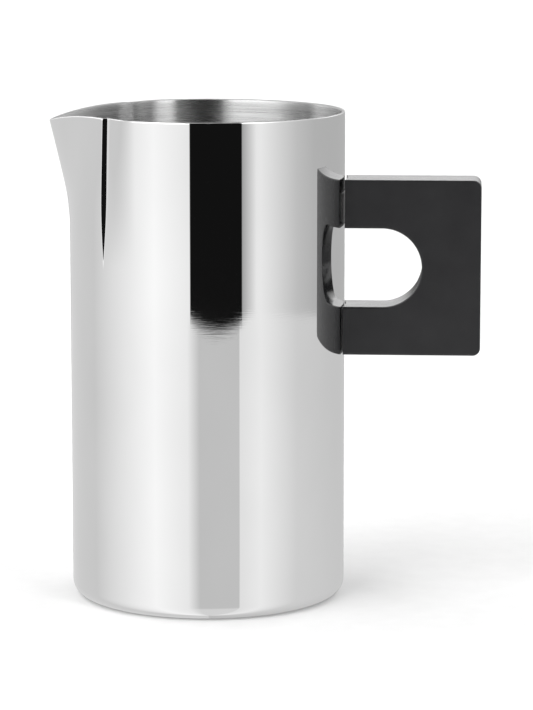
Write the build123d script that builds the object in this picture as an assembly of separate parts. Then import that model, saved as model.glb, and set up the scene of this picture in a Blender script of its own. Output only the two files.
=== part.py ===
from build123d import *
import math
import os

# A stainless pouring pot with a block handle, in millimetres.
# The origin is the centre of the base. +Z is up, the handle points to +X and the pouring lip to -X.

# Vessel
outer_radius = 45.0
vessel_height = 160.0
wall = 1.0
drawn_thinner = 0.02  # on each face of the wall, above the crease's foot
base_edge_radius = 4.3
base_groove_radius = 34.0
base_groove_depth = 0.4

# Pouring lip, with angles measured either side of -X
lip_height = 39.5
lip_blend_height = 16.0
lip_slope = 0.24
lip_half_angle = 52.4
lip_flank_distance = 43.08
lip_tip_softness = 2.65
lip_edge_drop = 3.1
lip_edge_start = 33.0
crease_angle = 45.0
crease_lean = 1.8  # degrees that its foot lies farther round than its top
crease_depth = 1.45
crease_slope = 0.92  # millimetres of depth for each degree round the wall
crease_softness = 0.8
crease_softness_inside = 2.0
crease_height = 48.5
crease_fade = 25.0
crease_ease = 0.15  # how gently the crease starts, as a share of the fade
crease_overlap = 5.0  # degrees that the flank's curve runs on past the crease
thinnest_crease = 0.05
pinch_angle = 64.0

# Handle block
handle_reach = 89.6
handle_height = 57.4
handle_thickness = 16.0
handle_middle = 109.6
handle_corner_radius = 2.5
handle_edge_radius = 0.4
handle_gap = 0.5
upper_handle_gap = 1.0
opening_height = 25.8
opening_centre = 57.5

# Lugs that hold the handle. Their feet reach across the gap into pockets in the block.
foot_thickness = 1.2
foot_width = 8.0
foot_ends = {"upper": (124.0, 133.5), "lower": (81.6, 96.0)}
tongue_thickness = 3.0
tongue_width = 7.5
tongue_end = 61.0
pocket_clearance = 0.2

# Screws and their spring washers
screw_x = 54.0
screw_radius = 2.0
head_radius = 3.5
head_height = 2.8
socket_across_flats = 2.5
socket_depth = 1.6
screw_point = 0.6
washer_radius = 3.4
washer_bore = 2.1
washer_thickness = 0.8
washer_split = 0.8
recess_radius = 3.9
recess_depth = 4.0

# Worked out from the sizes above
inner_radius = outer_radius - wall
arm_height = (handle_height - opening_height) / 2
arm_offset = (opening_height + arm_height) / 2
arm_middles = {"upper": handle_middle + arm_offset, "lower": handle_middle - arm_offset}
lip_foot = vessel_height - lip_height
crease_foot = vessel_height - crease_height
full_bulge = lip_slope * (lip_height - lip_blend_height / 2)


def lip_share(height):
    """The lip's size at a height, as a share of its size at the rim."""
    rise = max(0.0, height - lip_foot)
    if rise < lip_blend_height:
        return lip_slope * rise**2 / (2 * lip_blend_height) / full_bulge
    return lip_slope * (rise - lip_blend_height / 2) / full_bulge


def depth_at(height):
    """The crease's depth at a height: full near the rim, fading out at its foot."""
    rise = min(1.0, max(0.0, (height - crease_foot) / crease_fade))
    eased = (1 + crease_ease) * rise**2 / (rise + crease_ease)
    return crease_depth * (1 - (1 - eased) ** 2)


def crease_at(height):
    """The crease's angle from -X at a height."""
    return crease_angle + crease_lean * (vessel_height - height) / crease_height


def flank_radius(angle, height):
    """Radius of the lip's straight flank, and of the wall that it grows out of lower down."""
    away = math.sqrt(angle**2 + lip_tip_softness**2)
    from_middle = math.radians(away - (90 - lip_half_angle))
    flank = lip_flank_distance / math.cos(from_middle)
    return outer_radius + (flank - outer_radius) * lip_share(height)


def soft_step(position, half_width, softness):
    """0 to 1 in a straight ramp of a given half width, with softened ends."""
    ends = [math.log1p(math.exp((position + way * half_width) / softness)) for way in (1, -1)]
    return softness * (ends[0] - ends[1]) / (2 * half_width)


def wall_radius(angle, height, softness):
    """Outer radius at an angle from -X: straight lip flanks, a crease either side, then the cylinder."""
    away = abs(angle)
    depth = depth_at(height)
    crease = crease_at(height)
    pinch = outer_radius - flank_radius(crease, height) + depth
    reach = min(1.0, max(0.0, (pinch_angle - away) / (pinch_angle - crease)))
    side = outer_radius - pinch * reach**2 * (3 - 2 * reach)
    half_width = max(thinnest_crease, depth / crease_slope / 2)
    mix = soft_step(crease - away, half_width, softness)
    lip = flank_radius(min(away, crease + crease_overlap), height)
    return lip * mix + side * (1 - mix)


def wall_point(angle, height, softness, inset):
    """A point of the wall's section at a height, moved inwards by inset along the section's normal."""
    step = 0.5
    ends = []
    for a in (angle - step, angle + step):
        r = wall_radius(a, height, softness)
        ends.append((-r * math.cos(math.radians(a)), r * math.sin(math.radians(a))))
    dx = ends[1][0] - ends[0][0]
    dy = ends[1][1] - ends[0][1]
    length = math.hypot(dx, dy)
    r = wall_radius(angle, height, softness)
    x = -r * math.cos(math.radians(angle)) + inset * dy / length
    y = r * math.sin(math.radians(angle)) - inset * dx / length
    return Vector(x, y, height)


def lip_angles():
    """Angles of a section's points: every 4 degrees, and closer near the creases."""
    near_crease = [crease_angle + crease_lean / 2 + 1.2 * i for i in range(-4, 5)]
    side = list(range(0, 37, 4)) + near_crease + [53, 56, 59, 62]
    return [-a for a in reversed(side[1:])] + side


def wall_section(height, softness, inset):
    """The wall's closed outline at a height: a spline round the lip and an arc round the rest."""
    angles = lip_angles()
    end = pinch_angle + 2
    angles = [-end] + angles + [end]
    radius = outer_radius - inset
    first, last = [
        Vector(-radius * math.cos(math.radians(a)), radius * math.sin(math.radians(a)), height)
        for a in (-end, end)
    ]
    points = [first] + [wall_point(a, height, softness, inset) for a in angles[1:-1]] + [last]
    start_way = Vector(-math.sin(math.radians(end)), math.cos(math.radians(end)), 0)
    end_way = Vector(math.sin(math.radians(end)), math.cos(math.radians(end)), 0)
    parameters = [(a + end) / (2 * end) for a in angles]
    lip = Edge.make_spline(points, tangents=[start_way, end_way], parameters=parameters)
    back = Edge.make_three_point_arc(last, Vector(radius, 0, height), first)
    return Wire([lip, back])


def wall_solid(softness, inset, top):
    """The solid inside the wall's outlines, from below the crease to a height."""
    sections = 9
    heights = [crease_foot + (top - crease_foot) * i / (sections - 1) for i in range(sections)]
    return Solid.make_loft([wall_section(h, softness, inset) for h in heights])


def cup_profile(radius, floor, corner, top):
    """Half-section of a plain cup's volume: flat floor, round corner, straight side."""
    with BuildSketch(Plane.XZ) as profile:
        with BuildLine():
            Line((0, floor), (radius - corner, floor))
            RadiusArc((radius - corner, floor), (radius, floor + corner), -corner)
            Line((radius, floor + corner), (radius, top))
            Line((radius, top), (0, top))
            Line((0, top), (0, floor))
        make_face()
    return profile.sketch


def lip_edge_cutter():
    """The space above the rim: the rim dips in a curve towards the lip's tip."""
    tip = outer_radius + full_bulge
    with BuildSketch(Plane.XZ) as space:
        with BuildLine():
            curve = []
            for i in range(6):
                share = i / 5
                x = -(lip_edge_start + (tip - lip_edge_start) * share)
                curve.append((x, vessel_height - lip_edge_drop * share**2))
            Spline(*curve, tangents=[(-1, 0), (-1, -2 * lip_edge_drop / (tip - lip_edge_start))])
            end = (-(tip + 5), curve[-1][1] - 2)
            Line(curve[-1], end)
            Line(end, (end[0], vessel_height + 5))
            Line((end[0], vessel_height + 5), (-lip_edge_start, vessel_height + 5))
            Line((-lip_edge_start, vessel_height + 5), curve[0])
        make_face()
    return extrude(space.sketch, amount=outer_radius, both=True)


def make_vessel_body():
    """The drawn cup: a cylinder with a round bottom edge and a pouring lip pulled out of its rim."""
    outside = revolve(cup_profile(outer_radius, 0, base_edge_radius, crease_foot), Axis.Z)
    outside = outside + wall_solid(crease_softness, drawn_thinner, vessel_height)
    corner = base_edge_radius - wall
    inside = revolve(cup_profile(inner_radius, wall, corner, crease_foot), Axis.Z)
    inside = inside + wall_solid(crease_softness_inside, wall - drawn_thinner, vessel_height)
    groove = Solid.make_torus(base_groove_radius, base_groove_depth)
    return outside - inside - lip_edge_cutter() - groove


def block_profile():
    """The handle's side view: a rectangle with a U-shaped finger opening towards the vessel."""
    with BuildSketch(Plane.XZ) as profile:
        with Locations((handle_reach / 2, handle_middle)):
            Rectangle(handle_reach, handle_height)
        outer_corners = profile.vertices().group_by(Axis.X)[-1]
        fillet(outer_corners, handle_corner_radius)
        with Locations((opening_centre, handle_middle)):
            Circle(opening_height / 2, mode=Mode.SUBTRACT)
        with Locations((opening_centre / 2, handle_middle)):
            Rectangle(opening_centre, opening_height, mode=Mode.SUBTRACT)
    return profile.sketch


def foot_solid(radius, ends, spare):
    """A curved plate that lies against the vessel's wall, or the space for it with some to spare."""
    height = ends[1] - ends[0] + 2 * spare
    ring = Cylinder(radius + foot_thickness + spare, height) - Cylinder(radius, height)
    window = Pos(radius, 0, 0) * Box(radius, foot_width + 2 * spare, height)
    return Pos(0, 0, sum(ends) / 2) * (ring & window)


def tongue_solid(end, width, thickness, low):
    """A flat bar from the wall into the handle's arm, with a round end."""
    length = end - outer_radius - width / 2
    bar = Pos(outer_radius + length / 2, 0, 0) * Box(length, width, thickness)
    nose = Pos(end - width / 2, 0, 0) * Cylinder(width / 2, thickness)
    return Pos(0, 0, low + thickness / 2) * (bar + nose)


def fixing_space(middle, ends):
    """What is hollowed out of one arm: the lug's pocket, the screw's hole and its recess."""
    low = middle - tongue_thickness / 2
    foot = foot_solid(outer_radius, ends, pocket_clearance)
    width = tongue_width + pocket_clearance
    tongue = tongue_solid(tongue_end + pocket_clearance, width, tongue_thickness + pocket_clearance, low)
    underside = middle - arm_height / 2
    hole_radius = screw_radius + pocket_clearance
    hole_height = arm_height / 2 + tongue_thickness
    hole = Pos(screw_x, 0, underside + hole_height / 2) * Cylinder(hole_radius, hole_height)
    recess = Pos(screw_x, 0, underside + recess_depth / 2) * Cylinder(recess_radius, recess_depth)
    return [foot, tongue, hole, recess]


def make_handle_grip():
    """The C-shaped plastic block, hollowed to fit the vessel's wall and the two lugs."""
    block = extrude(block_profile(), amount=handle_thickness / 2, both=True)
    sides = [f for f in block.faces().group_by(Axis.Y)[0] + block.faces().group_by(Axis.Y)[-1]]
    rim_edges = [e for f in sides for e in f.edges() if e.center().X > outer_radius]
    block = fillet(rim_edges, handle_edge_radius)
    block = block - Pos(0, 0, handle_middle) * Cylinder(outer_radius + handle_gap, handle_height * 2)
    above = Pos(0, 0, handle_middle + handle_height / 2)
    block = block - above * Cylinder(outer_radius + upper_handle_gap, handle_height)
    for place, middle in arm_middles.items():
        for space in fixing_space(middle, foot_ends[place]):
            block = block - space
    return block


def make_lug(middle, ends):
    """A foot welded to the wall, and a tongue with a threaded hole for the screw."""
    foot = foot_solid(outer_radius if middle < crease_foot else outer_radius - drawn_thinner, ends, 0)
    low = middle - tongue_thickness / 2
    tongue = tongue_solid(tongue_end, tongue_width, tongue_thickness, low)
    tongue = tongue - Pos(0, 0, middle) * Cylinder(outer_radius, arm_height)
    thread = Pos(screw_x, 0, middle) * Cylinder(screw_radius, arm_height)
    return foot + tongue - thread


def seat_height(middle):
    """The flat in an arm's recess that the spring washer bears on."""
    return middle - arm_height / 2 + recess_depth


def make_screw(middle):
    """A cheese-head screw with a hexagon socket, head down."""
    head_top = seat_height(middle) - washer_thickness
    shank_top = middle + tongue_thickness / 2 + screw_point
    head = Pos(screw_x, 0, head_top - head_height / 2) * Cylinder(head_radius, head_height)
    head = chamfer(head.edges().sort_by(Axis.Z)[0], washer_thickness / 2)
    shank_height = shank_top - head_top
    shank = Pos(screw_x, 0, head_top + shank_height / 2) * Cylinder(screw_radius, shank_height)
    shank = chamfer(shank.edges().sort_by(Axis.Z)[-1], screw_point)
    hexagon = RegularPolygon(socket_across_flats / 2, 6, major_radius=False)
    socket = extrude(Pos(screw_x, 0, head_top - head_height) * hexagon, socket_depth)
    return head + shank - socket


def make_spring_washer(middle):
    """A split ring pressed flat between the screw's head and the arm."""
    height = seat_height(middle) - washer_thickness / 2
    ring = Cylinder(washer_radius, washer_thickness) - Cylinder(washer_bore, washer_thickness)
    split = Pos(washer_radius, 0, 0) * Rot(20, 0, 0) * Box(washer_radius, washer_split, washer_radius)
    return Pos(screw_x, 0, height) * (ring - split)


def make_parts():
    parts = {"vessel_body": make_vessel_body(), "handle_grip": make_handle_grip()}
    for place, middle in arm_middles.items():
        parts[f"{place}_lug"] = make_lug(middle, foot_ends[place])
        parts[f"{place}_screw"] = make_screw(middle)
        parts[f"{place}_spring_washer"] = make_spring_washer(middle)
    return parts


os.makedirs("parts", exist_ok=True)
for name, solid in make_parts().items():
    export_step(solid, f"parts/{name}.step")
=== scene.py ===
import math

import bmesh
import bpy
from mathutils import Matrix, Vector


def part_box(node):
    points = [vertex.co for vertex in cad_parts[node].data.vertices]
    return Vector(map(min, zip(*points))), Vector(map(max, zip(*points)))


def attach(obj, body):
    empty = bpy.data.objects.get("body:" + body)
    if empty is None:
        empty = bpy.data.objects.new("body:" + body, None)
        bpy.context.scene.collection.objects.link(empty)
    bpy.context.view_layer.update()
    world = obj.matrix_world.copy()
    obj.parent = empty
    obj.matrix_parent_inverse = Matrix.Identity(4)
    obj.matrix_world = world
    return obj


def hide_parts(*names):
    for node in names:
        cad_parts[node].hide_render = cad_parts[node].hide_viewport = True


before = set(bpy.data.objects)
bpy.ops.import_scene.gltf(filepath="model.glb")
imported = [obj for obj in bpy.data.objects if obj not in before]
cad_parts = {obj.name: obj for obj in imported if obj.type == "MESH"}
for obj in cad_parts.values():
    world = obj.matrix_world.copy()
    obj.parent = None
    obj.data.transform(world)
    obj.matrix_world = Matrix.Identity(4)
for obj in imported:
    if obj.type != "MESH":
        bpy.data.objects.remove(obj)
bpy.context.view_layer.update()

MM = 0.001

# The vessel, in millimetres. Its height and radius are read from the frame.
WALL = 1.0
CORNER = 4.3
GROOVE_AT = 34.0
GROOVE_DEEP = 0.4
RIM_ROUND = 0.35

# The pouring lip: angles in degrees either side of -X, heights down from the rim in millimetres.
LIP_HEIGHT = 39.5
LIP_BLEND = 16.0
LIP_SLOPE = 0.24
LIP_HALF_ANGLE = 52.4
LIP_FLANK = 43.08
LIP_SOFT = 2.65
LIP_DROP = 3.1
LIP_DROP_START = 33.0
CREASE_AT = 45.0
CREASE_LEAN = 1.8
CREASE_DEPTH = 1.45
CREASE_SLOPE = 0.92
CREASE_HEIGHT = 48.5
CREASE_FADE = 25.0
CREASE_EASE = 0.15  # how gently the crease starts, as a share of the fade
CREASE_OVERLAP = 5.0  # how far the flank's curve runs on past the crease
THINNEST_CREASE = 0.02
PINCH_TO = 64.0

# A face of the wall: how soft its crease is, and the step that finds its direction, both in degrees.
OUTSIDE = (0.04, 0.05)
INSIDE = (2.0, 0.3)

# The vessel's mesh: points along its parts, and its finishes by material slot.
CORNER_STEPS = 14
WALL_STEPS = 6
LIP_STEPS = 80
RIM_STEPS = 10
OUTER, INNER, BASE, RIM = range(4)

# The handle block, in millimetres. Its ends are read from the frame.
HANDLE_CORNER = 2.5
HANDLE_EDGE = 0.4
HANDLE_GAP = 0.5
UPPER_HANDLE_GAP = 1.0
OPENING_HEIGHT = 25.8
OPENING_CENTRE = 57.5
SCREW_AT = 54.0
HOLE_RADIUS = 2.2
RECESS_RADIUS = 3.9
RECESS_DEEP = 4.0
TONGUE_THICK = 3.0

vessel_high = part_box("vessel_body")[1]
grip_low, grip_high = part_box("handle_grip")
HEIGHT = vessel_high.z / MM
RADIUS = vessel_high.y / MM
LIP_FOOT = HEIGHT - LIP_HEIGHT
CREASE_FOOT = HEIGHT - CREASE_HEIGHT
FULL_BULGE = LIP_SLOPE * (LIP_HEIGHT - LIP_BLEND / 2)
LIP_TIP = RADIUS + FULL_BULGE


# ---------------------------------------------------------------- node helpers

class Nodes:
    """A material's node tree, with short calls to add and link nodes."""

    def __init__(self, tree):
        self.tree = tree
        tree.nodes.clear()

    def add(self, kind, settings=None, **inputs):
        node = self.tree.nodes.new(kind)
        for name, value in (settings or {}).items():
            setattr(node, name, value)
        for name, value in inputs.items():
            self.put(node, name.replace("_", " "), value)
        return node

    def put(self, node, name, value):
        socket = node.inputs[int(name[1:]) if name[0] == "i" and name[1:].isdigit() else name]
        if isinstance(value, bpy.types.NodeSocket):
            self.tree.links.new(value, socket)
        else:
            socket.default_value = value

    def math(self, operation, a, b=0.0, clamp=False):
        settings = {"operation": operation, "use_clamp": clamp}
        return self.add("ShaderNodeMath", settings, i0=a, i1=b).outputs[0]

    def scaled(self, vector, x, y, z):
        return self.add("ShaderNodeMapping", Vector=vector, Scale=(x, y, z)).outputs[0]

    def noise(self, vector, scale, detail=3.0, roughness=0.5):
        node = self.add(
            "ShaderNodeTexNoise", Vector=vector, Scale=scale, Detail=detail, Roughness=roughness
        )
        return node.outputs[0]

    def spread(self, value, low, high, start=0.0, end=1.0):
        node = self.add("ShaderNodeMapRange", Value=value)
        for name, number in (("From Min", start), ("From Max", end), ("To Min", low), ("To Max", high)):
            node.inputs[name].default_value = number
        return node.outputs[0]

    def ramp(self, value, stops, ease="LINEAR"):
        node = self.add("ShaderNodeValToRGB", i0=value)
        node.color_ramp.interpolation = ease
        elements = node.color_ramp.elements
        while len(elements) < len(stops):
            elements.new(0.5)
        for element, (place, colour) in zip(elements, stops):
            element.position = place
            element.color = colour if isinstance(colour, tuple) else (colour, colour, colour, 1.0)
        return node.outputs[0]

    def mix(self, factor, a, b, blend="MIX"):
        """Mixes two colours or greys."""
        node = self.add("ShaderNodeMix", {"data_type": "RGBA", "blend_type": blend}, i0=factor)
        for place, value in ((6, a), (7, b)):
            grey = not isinstance(value, (bpy.types.NodeSocket, tuple))
            self.put(node, f"i{place}", (value, value, value, 1.0) if grey else value)
        return node.outputs[2]

    def bump(self, height, strength, distance, normal=None):
        node = self.add("ShaderNodeBump", Height=height, Strength=strength, Distance=distance)
        if normal is not None:
            self.put(node, "Normal", normal)
        return node.outputs[0]


def new_material(name):
    """A material with a Principled shader: itself, its nodes, the shader and the object coordinates."""
    material = bpy.data.materials.new(name)
    material.use_nodes = True
    nodes = Nodes(material.node_tree)
    shader = nodes.add("ShaderNodeBsdfPrincipled")
    out = nodes.add("ShaderNodeOutputMaterial")
    nodes.tree.links.new(shader.outputs[0], out.inputs[0])
    place = nodes.add("ShaderNodeTexCoord").outputs["Object"]
    return material, nodes, shader, place


# ------------------------------------------------------------------- materials

def around_axis(nodes, place, rings_per_m, turns):
    """Coordinates that run round the vessel's axis: slow along the way round, fast along the height."""
    xyz = nodes.add("ShaderNodeSeparateXYZ", Vector=place)
    angle = nodes.math("ARCTAN2", xyz.outputs[1], xyz.outputs[0])
    return nodes.add(
        "ShaderNodeCombineXYZ",
        X=nodes.math("MULTIPLY", nodes.math("SINE", angle), turns),
        Y=nodes.math("MULTIPLY", nodes.math("COSINE", angle), turns),
        Z=nodes.math("MULTIPLY", xyz.outputs[2], rings_per_m),
    ).outputs[0]


def polished_steel():
    """Mirror-polished steel, with the faint rings and waviness that the polishing wheel leaves."""
    material, nodes, shader, place = new_material("polished_steel_mirror")
    rings = nodes.noise(around_axis(nodes, place, 2600.0, 3.0), 1.0, 4.0, 0.6)
    haze = nodes.noise(nodes.scaled(place, 30.0, 30.0, 18.0), 1.0, 3.0)
    wave = nodes.noise(nodes.scaled(place, 22.0, 22.0, 9.0), 1.0, 1.0)
    nodes.put(shader, "Base Color", nodes.ramp(haze, [(0.3, 0.79), (0.7, 0.83)]))
    nodes.put(shader, "Roughness", nodes.spread(rings, 0.008, 0.018, 0.3, 0.7))
    shader.inputs["Metallic"].default_value = 1.0
    shader.inputs["Anisotropic"].default_value = 0.6
    shader.inputs["Anisotropic Rotation"].default_value = 0.25
    nodes.put(shader, "Tangent", nodes.add("ShaderNodeTangent", {"axis": "Z"}).outputs[0])
    normal = nodes.bump(wave, 0.008, 0.0006)
    nodes.put(shader, "Normal", nodes.bump(rings, 0.010, 0.00008, normal))
    return material


def brushed_steel_inside():
    """The vessel's inside: steel brushed in rings, which smears what it mirrors up and down. Its colour is
    kept well below the outside steel's, which darkens the whole inside as painted shade.
    """
    material, nodes, shader, place = new_material("polished_steel_brushed_inside_painted_shade")
    fine = nodes.noise(around_axis(nodes, place, 2600.0, 1.2), 1.0, 3.0, 0.65)
    broad = nodes.noise(around_axis(nodes, place, 700.0, 1.0), 1.0, 3.0, 0.6)
    both = nodes.math("ADD", nodes.math("MULTIPLY", fine, 0.6), nodes.math("MULTIPLY", broad, 0.4))
    # Painted shade: these stops sit well below the outside steel's, so the whole inside comes out darker;
    # the spread between them is the brushing's random tone.
    nodes.put(shader, "Base Color", nodes.ramp(both, [(0.3, 0.46), (0.5, 0.56), (0.7, 0.66)]))
    nodes.put(shader, "Roughness", nodes.spread(both, 0.24, 0.31, 0.3, 0.7))
    shader.inputs["Metallic"].default_value = 1.0
    shader.inputs["Anisotropic"].default_value = 1.0
    shader.inputs["Anisotropic Rotation"].default_value = 0.25
    nodes.put(shader, "Tangent", nodes.add("ShaderNodeTangent", {"axis": "Z"}).outputs[0])
    nodes.put(shader, "Normal", nodes.bump(both, 0.15, 0.00012))
    return material


def cut_edge_steel():
    """The rim's cut edge: satin steel, duller than the faces, with fine scratches along it."""
    material, nodes, shader, place = new_material("polished_steel_cut_edge")
    scratch = nodes.noise(around_axis(nodes, place, 2600.0, 30.0), 1.0, 3.0, 0.6)
    nodes.put(shader, "Base Color", nodes.ramp(scratch, [(0.3, 0.30), (0.7, 0.38)]))
    nodes.put(shader, "Roughness", nodes.spread(scratch, 0.3, 0.4, 0.3, 0.7))
    shader.inputs["Metallic"].default_value = 1.0
    nodes.put(shader, "Normal", nodes.bump(scratch, 0.1, 0.00005))
    return material


def turned_steel_base():
    """The underside: satin steel with fine rings round its centre."""
    material, nodes, shader, place = new_material("polished_steel_satin_base")
    xyz = nodes.add("ShaderNodeSeparateXYZ", Vector=place)
    across = nodes.add("ShaderNodeCombineXYZ", X=xyz.outputs[0], Y=xyz.outputs[1])
    reach = nodes.add("ShaderNodeVectorMath", {"operation": "LENGTH"}, i0=across.outputs[0]).outputs["Value"]
    line = nodes.add("ShaderNodeCombineXYZ", X=nodes.math("MULTIPLY", reach, 2400.0))
    rings = nodes.noise(line.outputs[0], 1.0, 4.0, 0.6)
    wear = nodes.noise(nodes.scaled(place, 260.0, 260.0, 260.0), 1.0, 4.0, 0.65)
    nodes.put(shader, "Base Color", nodes.ramp(wear, [(0.35, 0.60), (0.65, 0.74)]))
    nodes.put(shader, "Roughness", nodes.spread(wear, 0.24, 0.38, 0.3, 0.7))
    shader.inputs["Metallic"].default_value = 1.0
    nodes.put(shader, "Normal", nodes.bump(rings, 0.4, 0.00012))
    return material


def black_plastic():
    """Dense black moulded plastic: a fine satin grain, with faint rubbed patches."""
    material, nodes, shader, place = new_material("black_plastic_satin")
    grain = nodes.noise(place, 2500.0, 2.0, 0.5)
    patch = nodes.noise(place, 90.0, 4.0, 0.6)
    nodes.put(shader, "Base Color", nodes.ramp(patch, [
        (0.3, (0.015, 0.015, 0.016, 1.0)),
        (0.7, (0.018, 0.018, 0.019, 1.0)),
    ]))
    nodes.put(shader, "Roughness", nodes.spread(patch, 0.20, 0.24, 0.3, 0.7))
    shader.inputs["Specular IOR Level"].default_value = 0.5
    nodes.put(shader, "Normal", nodes.bump(grain, 0.06, 0.00006))
    return material


def plain_steel(name, shade):
    """Stamped or turned steel of the hidden fixings: light scratches one way, slight stain."""
    material, nodes, shader, place = new_material(name)
    scratch = nodes.noise(nodes.scaled(place, 400.0, 5000.0, 5000.0), 1.0, 4.0, 0.6)
    stain = nodes.noise(place, 400.0, 3.0)
    nodes.put(shader, "Base Color", nodes.ramp(stain, [(0.3, shade * 0.85), (0.7, shade)]))
    nodes.put(shader, "Roughness", nodes.spread(scratch, 0.25, 0.42, 0.3, 0.7))
    shader.inputs["Metallic"].default_value = 1.0
    nodes.put(shader, "Normal", nodes.bump(scratch, 0.25, 0.00005))
    return material


# ---------------------------------------------------------------- vessel shape

def lip_share(height):
    """The lip's size at a height, as a share of its size at the rim."""
    rise = max(0.0, height - LIP_FOOT)
    if rise < LIP_BLEND:
        return LIP_SLOPE * rise**2 / (2 * LIP_BLEND) / FULL_BULGE
    return LIP_SLOPE * (rise - LIP_BLEND / 2) / FULL_BULGE


def depth_at(height):
    """The crease's depth at a height: full near the rim, fading out at its foot."""
    rise = min(1.0, max(0.0, (height - CREASE_FOOT) / CREASE_FADE))
    eased = (1 + CREASE_EASE) * rise**2 / (rise + CREASE_EASE)
    return CREASE_DEPTH * (1 - (1 - eased)**2)


def flank_radius(angle, height):
    """Radius of the lip's straight flank, and of the wall that it grows out of lower down."""
    away = math.sqrt(angle**2 + LIP_SOFT**2)
    from_middle = math.radians(away - (90 - LIP_HALF_ANGLE))
    return RADIUS + (LIP_FLANK / math.cos(from_middle) - RADIUS) * lip_share(height)


def soft_step(position, half_width, softness):
    """0 to 1 in a straight ramp of a given half width, with softened ends."""
    ends = []
    for way in (1, -1):
        reach = (position + way * half_width) / softness
        # Far along the ramp the logarithm is the reach itself, and the exponential would overflow.
        ends.append(reach if reach > 40 else math.log1p(math.exp(reach)))
    return softness * (ends[0] - ends[1]) / (2 * half_width)


def wall_radius(angle, height, softness):
    """Outer radius at an angle from -X: straight lip flanks, a crease either side, then the cylinder."""
    away = abs(angle)
    if away > PINCH_TO:
        return RADIUS
    depth = depth_at(height)
    crease = CREASE_AT + CREASE_LEAN * (HEIGHT - height) / CREASE_HEIGHT
    pinch = RADIUS - flank_radius(crease, height) + depth
    reach = min(1.0, (PINCH_TO - away) / (PINCH_TO - crease))
    side = RADIUS - pinch * reach**2 * (3 - 2 * reach)
    half_width = max(THINNEST_CREASE, depth / CREASE_SLOPE / 2)
    mix = soft_step(crease - away, half_width, softness)
    lip = flank_radius(min(away, crease + CREASE_OVERLAP), height)
    return lip * mix + side * (1 - mix)


def wall_point(angle, height, face, inset):
    """A point of one face of the wall, moved inwards by inset along the section's normal."""
    softness, step = face
    ends = []
    for a in (angle - step, angle + step):
        r = wall_radius(a, height, softness)
        ends.append((-r * math.cos(math.radians(a)), r * math.sin(math.radians(a))))
    dx = ends[1][0] - ends[0][0]
    dy = ends[1][1] - ends[0][1]
    length = math.hypot(dx, dy)
    r = wall_radius(angle, height, softness)
    x = -r * math.cos(math.radians(angle)) + inset * dy / length
    y = r * math.sin(math.radians(angle)) - inset * dx / length
    return Vector((x, y, height))


def rim_height(angle):
    """The rim's height: level, and dipping in a curve towards the lip's tip."""
    x = wall_radius(angle, HEIGHT, OUTSIDE[0]) * math.cos(math.radians(angle))
    share = max(0.0, x - LIP_DROP_START) / (LIP_TIP - LIP_DROP_START)
    return HEIGHT - LIP_DROP * share**2


def column_angles():
    """The mesh's columns, in degrees from -X: closest at the crease, close round the lip, wide elsewhere."""
    step, crease_step, wide_count = 0.5, 0.06, 220
    start, end = CREASE_AT - 1.5, CREASE_AT + 3.3
    flank = [i * step for i in range(round(start / step))]
    crease = [start + i * crease_step for i in range(round((end - start) / crease_step) + 1)]
    side = [end + step * i for i in range(1, math.ceil((PINCH_TO - end) / step) + 1)]
    near = flank + crease + side
    lip_to = near[-1] + step
    wide = [lip_to + i * (360 - 2 * lip_to) / wide_count for i in range(wide_count + 1)]
    return near + wide + [360 - a for a in reversed(near[1:])]


def signed(angle):
    """An angle from 0 to 360 degrees, as one from -180 to 180."""
    return angle - 360 if angle > 180 else angle


def base_rings():
    """(radius, height) of the rings under the base, from its centre to the wall."""
    beside_groove = GROOVE_DEEP + 0.3
    rings = [(r, 0.0) for r in (4, 10, 18, 26, 31, GROOVE_AT - beside_groove)]
    groove_steps = 8
    for i in range(groove_steps + 1):
        turn = math.pi * i / groove_steps
        rings.append((GROOVE_AT - GROOVE_DEEP * math.cos(turn), GROOVE_DEEP * math.sin(turn)))
    rings.append((GROOVE_AT + beside_groove, 0.0))
    rings.append((RADIUS - CORNER - 1, 0.0))
    for i in range(CORNER_STEPS + 1):
        turn = math.pi / 2 * i / CORNER_STEPS
        rings.append((RADIUS - CORNER + CORNER * math.sin(turn), CORNER - CORNER * math.cos(turn)))
    return rings


def floor_rings():
    """(radius, height) of the rings inside, from the wall down to the floor's centre."""
    corner = CORNER - WALL
    inner = RADIUS - WALL
    rings = []
    steps = 10
    for i in range(steps + 1):
        turn = math.pi / 2 * i / steps
        rings.append((inner - corner + corner * math.cos(turn), CORNER - corner * math.sin(turn)))
    return rings + [(r, WALL) for r in (38, 30, 20, 10, 4)]


def vessel_rings(angle):
    """One column's points, under the base, up, over the rim and down inside, and where its rim is."""
    a = signed(angle)
    cos, sin = -math.cos(math.radians(a)), math.sin(math.radians(a))
    column = [Vector((r * cos, r * sin, z)) for r, z in base_rings()]
    top = rim_height(a) - RIM_ROUND
    for i in range(1, WALL_STEPS + 1):
        z = CORNER + (CREASE_FOOT - CORNER) * i / WALL_STEPS
        column.append(Vector((RADIUS * cos, RADIUS * sin, z)))
    for i in range(1, LIP_STEPS + 1):
        z = CREASE_FOOT + (top - CREASE_FOOT) * i / LIP_STEPS
        column.append(wall_point(a, z, OUTSIDE, 0.0))
    outer = column[-1]
    inner = wall_point(a, top, INSIDE, WALL)
    middle, half = (outer + inner) / 2, (outer - inner) / 2
    for i in range(1, RIM_STEPS):
        turn = math.pi * i / RIM_STEPS
        column.append(middle + half * math.cos(turn) + Vector((0, 0, RIM_ROUND * math.sin(turn))))
    rim = (len(column) - RIM_STEPS + 1, len(column))
    for i in range(LIP_STEPS, -1, -2):
        z = CREASE_FOOT + (top - CREASE_FOOT) * i / LIP_STEPS
        column.append(wall_point(a, z, INSIDE, WALL))
    inner_radius = RADIUS - WALL
    for i in range(WALL_STEPS - 1, 0, -1):
        z = CORNER + (CREASE_FOOT - CORNER) * i / WALL_STEPS
        column.append(Vector((inner_radius * cos, inner_radius * sin, z)))
    column += [Vector((r * cos, r * sin, z)) for r, z in floor_rings()]
    return column, rim


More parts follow.
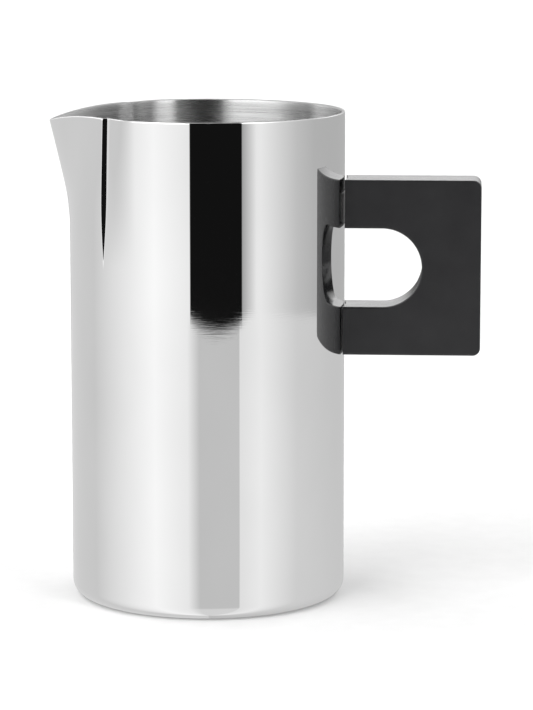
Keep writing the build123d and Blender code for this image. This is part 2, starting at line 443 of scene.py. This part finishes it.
def finish_of(place, flat_rings, rim):
    """The finish of the face that follows a point of a column."""
    if place < flat_rings:
        return BASE
    if place < rim[0]:
        return OUTER
    return RIM if place < rim[1] else INNER


def make_vessel(finishes):
    """The steel cup as one closed skin, in four finishes: outside, inside, base and rim."""
    angles = column_angles()
    mesh = bmesh.new()
    columns = []
    for angle in angles:
        points, rim = vessel_rings(angle)
        columns.append([mesh.verts.new(p * MM) for p in points])
    flat_rings = len(base_rings()) - CORNER_STEPS - 1
    for i in range(len(columns)):
        left, right = columns[i], columns[(i + 1) % len(columns)]
        for k in range(len(left) - 1):
            face = mesh.faces.new((left[k], left[k + 1], right[k + 1], right[k]))
            face.material_index = finish_of(k, flat_rings, rim)
    for ring, height, finish in ((0, 0.0, BASE), (-1, WALL * MM, INNER)):
        centre = mesh.verts.new((0, 0, height))
        for i in range(len(columns)):
            pair = columns[i][ring], columns[(i + 1) % len(columns)][ring]
            face = mesh.faces.new((centre, *pair))
            face.material_index = finish
    bmesh.ops.recalc_face_normals(mesh, faces=mesh.faces)
    piece = to_object(mesh, "vessel", finishes)
    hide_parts("vessel_body")
    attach(piece, "root")
    return piece


def to_object(mesh, name, materials, smooth=True):
    """Turns a bmesh into an object of the scene, with its materials."""
    data = bpy.data.meshes.new(name)
    for face in mesh.faces:
        face.smooth = smooth
    mesh.to_mesh(data)
    mesh.free()
    for material in materials:
        data.materials.append(material)
    piece = bpy.data.objects.new(name, data)
    bpy.context.scene.collection.objects.link(piece)
    return piece


# ---------------------------------------------------------------- handle shape

def arc(centre_x, centre_z, radius, start, end, steps):
    """Points of an arc in the side view, with its angles in degrees."""
    points = []
    for i in range(steps + 1):
        turn = math.radians(start + (end - start) * i / steps)
        points.append((centre_x + radius * math.cos(turn), centre_z + radius * math.sin(turn)))
    return points


def level_run(start, end, height, count):
    """Evenly spaced points of a level line in the side view, without its last."""
    return [(start + (end - start) * i / count, height) for i in range(count)]


def handle_outline(inset, y):
    """The block's side view, drawn in by inset: once round from the upper arm's end at the wall."""
    low, high = grip_low.z / MM + inset, grip_high.z / MM - inset
    end = grip_high.x / MM - inset
    middle = (low + high) / 2
    corner = HANDLE_CORNER - inset
    opening = OPENING_HEIGHT / 2 + inset
    lower_x, upper_x = [math.sqrt((RADIUS + gap)**2 - y**2) for gap in (HANDLE_GAP, UPPER_HANDLE_GAP)]
    top_run = level_run(upper_x, end - corner, high, 12)
    bottom_run = level_run(lower_x, end - corner, low, 12)
    upper_run = level_run(upper_x, OPENING_CENTRE, middle + opening, 6)
    lower_run = level_run(lower_x, OPENING_CENTRE, middle - opening, 6)
    corner_up = arc(end - corner, high - corner, corner, 90, 0, 10)
    corner_down = arc(end - corner, low + corner, corner, 0, -90, 10)
    notch = arc(OPENING_CENTRE, middle, opening, -90, 90, 64)
    below = corner_down + bottom_run[::-1] + lower_run
    return top_run + corner_up + below + notch + upper_run[::-1]


def handle_levels():
    """(place across the block, how far the outline is drawn in) from the front face to the back."""
    half = grip_high.y / MM
    steps = 6
    front = [(-half, HANDLE_EDGE * 2)]
    for i in range(steps + 1):
        turn = math.pi / 2 * i / steps
        front.append((-half + HANDLE_EDGE * (1 - math.cos(turn)), HANDLE_EDGE * (1 - math.sin(turn))))
    width = 2 * (half - HANDLE_EDGE)
    flat = [(-width / 2 + width * i / 12, 0.0) for i in range(1, 12)]
    back = [(-y, inset) for y, inset in reversed(front)]
    return front + flat + back


def cylinder_mesh(mesh, centre, radius, low, high, steps=72):
    """Adds an upright closed cylinder, in millimetres."""
    rings = []
    for z in (low, high):
        ring = []
        for i in range(steps):
            turn = 2 * math.pi * i / steps
            at = (centre + radius * math.cos(turn), radius * math.sin(turn), z)
            ring.append(mesh.verts.new(Vector(at) * MM))
        rings.append(ring)
    for i in range(steps):
        n = (i + 1) % steps
        mesh.faces.new((rings[0][i], rings[0][n], rings[1][n], rings[1][i]))
    mesh.faces.new(rings[0][::-1])
    mesh.faces.new(rings[1])


def cut(piece, mesh):
    """Takes a closed mesh out of a piece, and applies the cut."""
    tool = to_object(mesh, "cutter", [])
    modifier = piece.modifiers.new("cut", "BOOLEAN")
    modifier.operation = "DIFFERENCE"
    modifier.solver = "EXACT"
    modifier.object = tool
    shape = piece.evaluated_get(bpy.context.evaluated_depsgraph_get())
    result = bpy.data.meshes.new_from_object(shape)
    piece.modifiers.clear()
    piece.data = result
    bpy.data.objects.remove(tool)


def sharpen(piece, degrees):
    """Smooth shading, with hard edges where faces meet at more than an angle."""
    mesh = bmesh.new()
    mesh.from_mesh(piece.data)
    for face in mesh.faces:
        face.smooth = True
    for edge in mesh.edges:
        edge.smooth = edge.calc_face_angle(0.0) < math.radians(degrees)
    mesh.to_mesh(piece.data)
    mesh.free()


def make_handle(material):
    """The C-shaped block with softened edges, its ends curved to the wall and its screw holes cut."""
    mesh = bmesh.new()
    loops = []
    for y, inset in handle_levels():
        outline = handle_outline(inset, y)
        loops.append([mesh.verts.new(Vector((x, y, z)) * MM) for x, z in outline])
    count = len(loops[0])
    for near, far in zip(loops, loops[1:]):
        for i in range(count):
            n = (i + 1) % count
            mesh.faces.new((near[i], near[n], far[n], far[i]))
    mesh.faces.new(loops[0][::-1])
    mesh.faces.new(loops[-1])
    bmesh.ops.recalc_face_normals(mesh, faces=mesh.faces)
    piece = to_object(mesh, "handle", [material])
    middle = (grip_low.z + grip_high.z) / 2 / MM
    arm = ((grip_high.z - grip_low.z) / MM - OPENING_HEIGHT) / 2
    for centre in (middle + (OPENING_HEIGHT + arm) / 2, middle - (OPENING_HEIGHT + arm) / 2):
        underside = centre - arm / 2
        holes = bmesh.new()
        cylinder_mesh(holes, SCREW_AT, RECESS_RADIUS, underside - 1, underside + RECESS_DEEP)
        cut(piece, holes)
        holes = bmesh.new()
        cylinder_mesh(holes, SCREW_AT, HOLE_RADIUS, underside, centre + TONGUE_THICK, 48)
        cut(piece, holes)
    sharpen(piece, 32)
    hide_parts("handle_grip")
    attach(piece, "root")
    return piece


# ----------------------------------------------------------------------- stage

CAMERA_SIDE = 4.5  # degrees round from -Y towards the handle
GAP_FROM, GAP_TO = -14.5, 28.5  # the dark gap between the studio's side panels, seen from the camera
TABLE_EDGE = -0.158  # the slope at which the gap's dark gives way to the table
TABLE_CURVE = 0.58  # how round the table's edge is: 1 is straight, 0 is a circle round the object
TABLE_PEAK = 0.14  # the direction in which the table's edge is nearest, in radians
TABLE_ENDS = 0.965  # the least share of TABLE_EDGE that the slope falls to at the edge's ends
HIGH_LIGHT = 3.6  # the panels' light well above the object
GAP_LIGHT = 0.007  # the dark gaps' light
TABLE_LIGHT = 0.63  # the table's light at its edge
TABLE_LIGHT_NEAR = 0.79  # the table's light close to the object
EDGE_SOFT = 0.0012  # half the height over which the table's edge fades, as a slope
STRIP_WIDER = (7, 3)  # how much wider than the front gap the dark strip overhead is, either side
BACK_BAND = (172.5, 173.5)  # where the dark band straight behind starts, and is fully dark
FLOOR_RADIUS = 12.0  # metres
FLOOR_DROP = 0.05  # millimetres under the base, so that the two don't coincide

# The camera, in metres, radians and millimetres of lens.
CAMERA_DISTANCE = 1.0331
CAMERA_HEIGHT = 0.2500
CAMERA_PITCH = 0.1640
CAMERA_TURN = -0.0598
CAMERA_LENS = 160.7


def by_direction(nodes, turn, levels):
    """A level that changes with direction, given in degrees from the camera's side."""
    return nodes.ramp(turn, [((degrees + 180) / 360, level) for degrees, level in levels])


def side_panels(nodes, turn):
    """Light of the side panels, brightest to the front left and falling off to the back."""
    return by_direction(nodes, turn, [
        (-180, 0.75), (-110, 0.7), (-45, 1.15), (-18, 1.0), (28, 0.9), (45, 1.0), (80, 0.75), (180, 0.6),
    ])


def upper_dimming(nodes, turn):
    """The share of its light that each side keeps above the table's edge: least at the right's near end."""
    return by_direction(nodes, turn, [
        (-180, 0.8), (-160, 1.0), (25.5, 1.0), (27, 0.4), (41, 1.0), (100, 0.75), (180, 0.8),
    ])


def overhead_panels(nodes, turn):
    """Light from well above, as a share of the brightest: most in front, least at the sides."""
    return by_direction(nodes, turn, [
        (-180, 0.7), (-115, 0.65), (-105, 0.25), (-95, 0.25), (-55, 1.0),
        (37, 1.0), (65, 0.35), (100, 0.25), (126, 0.6), (180, 0.7),
    ])


def within(nodes, turn, start, end, soft_start, soft_end):
    """1 between two directions in degrees, fading over a soft width at either end."""
    after = nodes.spread(
        turn, 0.0, 1.0, math.radians(start - soft_start), math.radians(start + soft_start)
    )
    before = nodes.spread(turn, 1.0, 0.0, math.radians(end - soft_end), math.radians(end + soft_end))
    return nodes.math("MULTIPLY", after, before)


def wrapped(nodes, turn, degrees):
    """A direction less some degrees, kept within half a turn either way."""
    less = nodes.math("SUBTRACT", turn, math.radians(degrees))
    settings = {"operation": "WRAP"}
    return nodes.add("ShaderNodeMath", settings, i0=less, i1=math.pi, i2=-math.pi).outputs[0]


def make_world():
    """White to the camera. To the object: bright panels all round, a dark strip overhead and in front."""
    world = bpy.data.worlds.new("studio")
    bpy.context.scene.world = world
    world.use_nodes = True
    nodes = Nodes(world.node_tree)

    # Which way a ray goes: how far round from the camera's side, and how steeply up.
    way = nodes.add("ShaderNodeTexCoord").outputs["Generated"]
    x, y, z = nodes.add("ShaderNodeSeparateXYZ", Vector=way).outputs
    azimuth = nodes.math("ARCTAN2", x, nodes.math("MULTIPLY", y, -1.0))
    turn = wrapped(nodes, azimuth, CAMERA_SIDE)
    share = nodes.spread(turn, 0.0, 1.0, -math.pi, math.pi)
    flat = nodes.math("SQRT", nodes.math("SUBTRACT", 1.0, nodes.math("MULTIPLY", z, z)))
    slope = nodes.math("DIVIDE", z, nodes.math("MAXIMUM", flat, 0.001))

    # Whether it goes over the table's edge, and how far it is into each height of the studio.
    from_peak = nodes.math("SUBTRACT", turn, TABLE_PEAK)
    bend = nodes.math("COSINE", nodes.math("MULTIPLY", from_peak, TABLE_CURVE))
    bend = nodes.math("MAXIMUM", bend, TABLE_ENDS)
    over_table = nodes.math("SUBTRACT", slope, nodes.math("MULTIPLY", bend, TABLE_EDGE))
    above = nodes.spread(over_table, 0.0, 1.0, -EDGE_SOFT, EDGE_SOFT)
    high = nodes.spread(slope, 0.0, 1.0, 0.02, 0.25)
    high_up = nodes.spread(slope, 0.0, 1.0, 0.2, 0.35)
    down = nodes.spread(slope, 1.0, 0.0, -0.01, 0.01)

    # The table, and the bright panels all round and overhead.
    table_low = nodes.spread(slope, 0.0, 1.0, -0.3, -0.5)
    table = nodes.mix(table_low, TABLE_LIGHT, TABLE_LIGHT_NEAR)
    dimming = nodes.mix(above, 1.0, upper_dimming(nodes, share))
    panels = nodes.mix(1.0, side_panels(nodes, share), dimming, "MULTIPLY")
    overhead = nodes.mix(1.0, overhead_panels(nodes, share), HIGH_LIGHT, "MULTIPLY")
    room = nodes.mix(high, panels, overhead)

    # The dark band low down behind, and the dark strip overhead, in front and behind.
    back_start, back_end = [math.radians(degrees) for degrees in BACK_BAND]
    behind = nodes.spread(nodes.math("ABSOLUTE", turn), 0.0, 1.0, back_start, back_end)
    not_under = nodes.spread(slope, 0.0, 1.0, -0.4, -0.3)
    behind = nodes.math("MULTIPLY", behind, not_under)
    room = nodes.mix(nodes.math("MULTIPLY", behind, down), room, GAP_LIGHT)
    for middle in (0, 180):
        strip_from, strip_to = GAP_FROM - STRIP_WIDER[0], GAP_TO + STRIP_WIDER[1]
        strip = within(nodes, wrapped(nodes, turn, middle), strip_from, strip_to, 2.0, 2.0)
        room = nodes.mix(nodes.math("MULTIPLY", strip, high_up), room, GAP_LIGHT)

    # In front: the table up to its edge, and the dark gap above it.
    table_gap = within(nodes, turn, GAP_FROM + 2.5, GAP_TO - 2.3, 5.0, 0.4)
    front_gap = within(nodes, turn, GAP_FROM, GAP_TO, 0.35, 0.35)
    lower = nodes.mix(table_gap, room, table)
    upper = nodes.mix(front_gap, room, GAP_LIGHT)
    room = nodes.mix(above, lower, upper)

    # The camera itself sees plain white.
    camera = nodes.add("ShaderNodeLightPath").outputs["Is Camera Ray"]
    background = nodes.add("ShaderNodeBackground", Color=nodes.mix(camera, room, 1.0))
    out = nodes.add("ShaderNodeOutputWorld")
    nodes.tree.links.new(background.outputs[0], out.inputs[0])


def floor_material():
    """Matt white, very faintly mottled."""
    material, nodes, shader, place = new_material("floor_white")
    speck = nodes.noise(place, 120.0, 3.0)
    nodes.put(shader, "Base Color", nodes.ramp(speck, [(0.3, 0.69), (0.7, 0.71)]))
    shader.inputs["Roughness"].default_value = 0.9
    shader.inputs["Specular IOR Level"].default_value = 0.1
    return material


def make_floor():
    """A white floor that the steel doesn't mirror: it mirrors the studio below its horizon instead."""
    disc = bmesh.new()
    bmesh.ops.create_circle(disc, cap_ends=True, segments=96, radius=FLOOR_RADIUS)
    floor = to_object(disc, "floor", [floor_material()], smooth=False)
    floor.location.z = -FLOOR_DROP * MM
    floor.visible_glossy = False


def make_lights():
    """One very soft light from above, even over the whole floor."""
    data = bpy.data.lights.new("overhead", "SUN")
    data.angle = math.radians(100)
    data.energy = 0.2
    light = bpy.data.objects.new("overhead", data)
    light.visible_glossy = False
    bpy.context.scene.collection.objects.link(light)


def make_camera():
    """The photograph's view: a long lens, a little above the rim, slightly towards the handle's side."""
    data = bpy.data.cameras.new("camera")
    data.sensor_width = 36.0
    data.lens = CAMERA_LENS
    data.clip_start, data.clip_end = 0.05, 40.0
    camera = bpy.data.objects.new("camera", data)
    side = math.radians(CAMERA_SIDE)
    across, back = CAMERA_DISTANCE * math.sin(side), CAMERA_DISTANCE * math.cos(side)
    camera.location = (across, -back, CAMERA_HEIGHT)
    camera.rotation_euler = (math.pi / 2 - CAMERA_PITCH, 0.0, -CAMERA_TURN)
    bpy.context.scene.collection.objects.link(camera)
    bpy.context.scene.camera = camera


def dress_fixings():
    """Steel finishes for the lugs, screws and spring washers, whose CAD shapes stay."""
    lug = plain_steel("lug_steel_stamped", 0.62)
    fastener = plain_steel("fastener_steel_turned", 0.55)
    for name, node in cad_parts.items():
        if name.endswith("_lug"):
            finish = lug
        elif name.endswith(("_screw", "_washer")):
            finish = fastener
        else:
            continue
        for slot in node.material_slots:
            slot.material = finish


bpy.context.scene.view_settings.view_transform = "Standard"
make_camera()
make_world()
make_floor()
make_lights()
make_vessel([polished_steel(), brushed_steel_inside(), turned_steel_base(), cut_edge_steel()])
make_handle(black_plastic())
dress_fixings()
